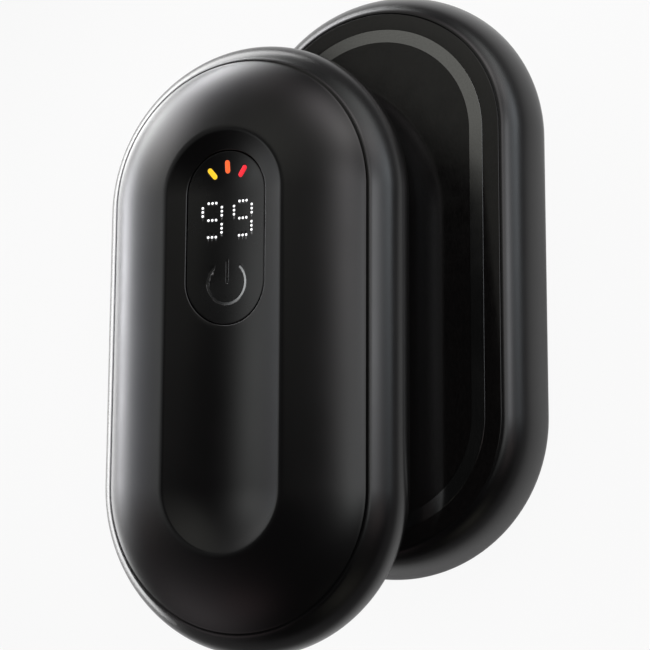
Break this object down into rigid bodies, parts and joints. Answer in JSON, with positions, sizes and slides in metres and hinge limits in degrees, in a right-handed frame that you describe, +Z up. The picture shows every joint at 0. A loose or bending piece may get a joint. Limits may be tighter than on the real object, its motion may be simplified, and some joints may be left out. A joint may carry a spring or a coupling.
{
  "type": "rechargeable hand warmer",
  "caption": "Pair of pill-shaped pocket hand warmers with magnetic mating faces, thumb grooves and lit key panels.",
  "frame": {"origin": "middle of the pair's outline on the surface that the lower half rests on", "axes": "+X across the halves, towards the lower half's open side; +Y along the halves, from the upper half's charging port to the far end; +Z up, along the outer face of the upper half"},
  "size_m": [0.0716, 0.111, 0.0392],
  "materials": {
    "satin_shell": "satin, fine speckled soft-touch coat",
    "soft_seal": "matt",
    "mating_gloss": "smooth dark gloss",
    "ring_grey": "satin grey",
    "magnet_plating": "nickel plated",
    "heater_film": "amber film",
    "foam": "closed-cell foam",
    "cell_foil": "laminated foil",
    "nickel": "bare",
    "frame_plastic": "moulded",
    "screw_steel": "zinc plated",
    "board_green": "solder mask",
    "chip_black": "epoxy",
    "socket_steel": "formed sheet",
    "tongue_black": "moulded",
    "cable_film": "amber film",
    "light_block": "white moulded",
    "led_lens": "clear yellow",
    "switch_black": "moulded",
    "plunger_ivory": "moulded",
    "key_gloss": "smooth smoked gloss",
    "dot_white": "white light window",
    "level_yellow": "yellow light window",
    "level_orange": "orange light window",
    "level_red": "red light window"
  },
  "bodies": {
    "lower_half": {"lower_outer_shell": "satin_shell", "lower_mating_shell": "satin_shell", "lower_seam_gasket": "soft_seal", "lower_mating_panel": "mating_gloss", "lower_mating_ring": "ring_grey", "lower_magnets": "magnet_plating", "lower_mating_heater": "heater_film", "lower_foam_pad": "foam", "lower_battery_cell": "cell_foil", "lower_battery_tabs": "nickel", "lower_inner_frame": "frame_plastic", "lower_screws": "screw_steel", "lower_main_board": "board_green", "lower_board_chips": "chip_black", "lower_usb_socket": "socket_steel", "lower_usb_tongue": "tongue_black", "lower_flat_cable": "cable_film", "lower_display_board": "board_green", "lower_display_module": "light_block", "lower_level_leds": "led_lens", "lower_tact_switch": "switch_black", "lower_outer_heater": "heater_film", "lower_key_gasket": "soft_seal"},
    "lower_key": {"lower_key_panel": "key_gloss", "lower_digit_dots": "dot_white", "lower_level_low": "level_yellow", "lower_level_mid": "level_orange", "lower_level_high": "level_red"},
    "lower_plunger": {"lower_switch_plunger": "plunger_ivory"},
    "upper_half": {"upper_outer_shell": "satin_shell", "upper_mating_shell": "satin_shell", "upper_seam_gasket": "soft_seal", "upper_mating_panel": "mating_gloss", "upper_mating_ring": "ring_grey", "upper_magnets": "magnet_plating", "upper_mating_heater": "heater_film", "upper_foam_pad": "foam", "upper_battery_cell": "cell_foil", "upper_battery_tabs": "nickel", "upper_inner_frame": "frame_plastic", "upper_screws": "screw_steel", "upper_main_board": "board_green", "upper_board_chips": "chip_black", "upper_usb_socket": "socket_steel", "upper_usb_tongue": "tongue_black", "upper_flat_cable": "cable_film", "upper_display_board": "board_green", "upper_display_module": "light_block", "upper_level_leds": "led_lens", "upper_tact_switch": "switch_black", "upper_outer_heater": "heater_film", "upper_key_gasket": "soft_seal"},
    "upper_key": {"upper_key_panel": "key_gloss", "upper_digit_dots": "dot_white", "upper_level_low": "level_yellow", "upper_level_mid": "level_orange", "upper_level_high": "level_red"},
    "upper_plunger": {"upper_switch_plunger": "plunger_ivory"}
  },
  "joints": [
    {"name": "halves_slide", "type": "slide", "parent": "lower_half", "child": "upper_half", "axis": [0.8399, 0.5427, 0], "range_m": [0, 0.02119]},
    {"name": "upper_key_press", "type": "slide", "parent": "upper_half", "child": "upper_key", "axis": [0, 0, -1], "range_m": [0, 0.00035], "stiffness_N_per_m": 2000},
    {"name": "upper_switch_press", "type": "slide", "parent": "upper_half", "child": "upper_plunger", "axis": [0, 0, -1], "range_m": [0, 0.00035]},
    {"name": "lower_key_press", "type": "slide", "parent": "lower_half", "child": "lower_key", "axis": [0, 0, 1], "range_m": [0, 0.00035], "stiffness_N_per_m": 2000},
    {"name": "lower_switch_press", "type": "slide", "parent": "lower_half", "child": "lower_plunger", "axis": [0, 0, 1], "range_m": [0, 0.00035]}
  ],
  "couplings": [
    {"joint": "upper_switch_press", "follows": "upper_key_press", "ratio": 1},
    {"joint": "lower_switch_press", "follows": "lower_key_press", "ratio": 1}
  ]
}
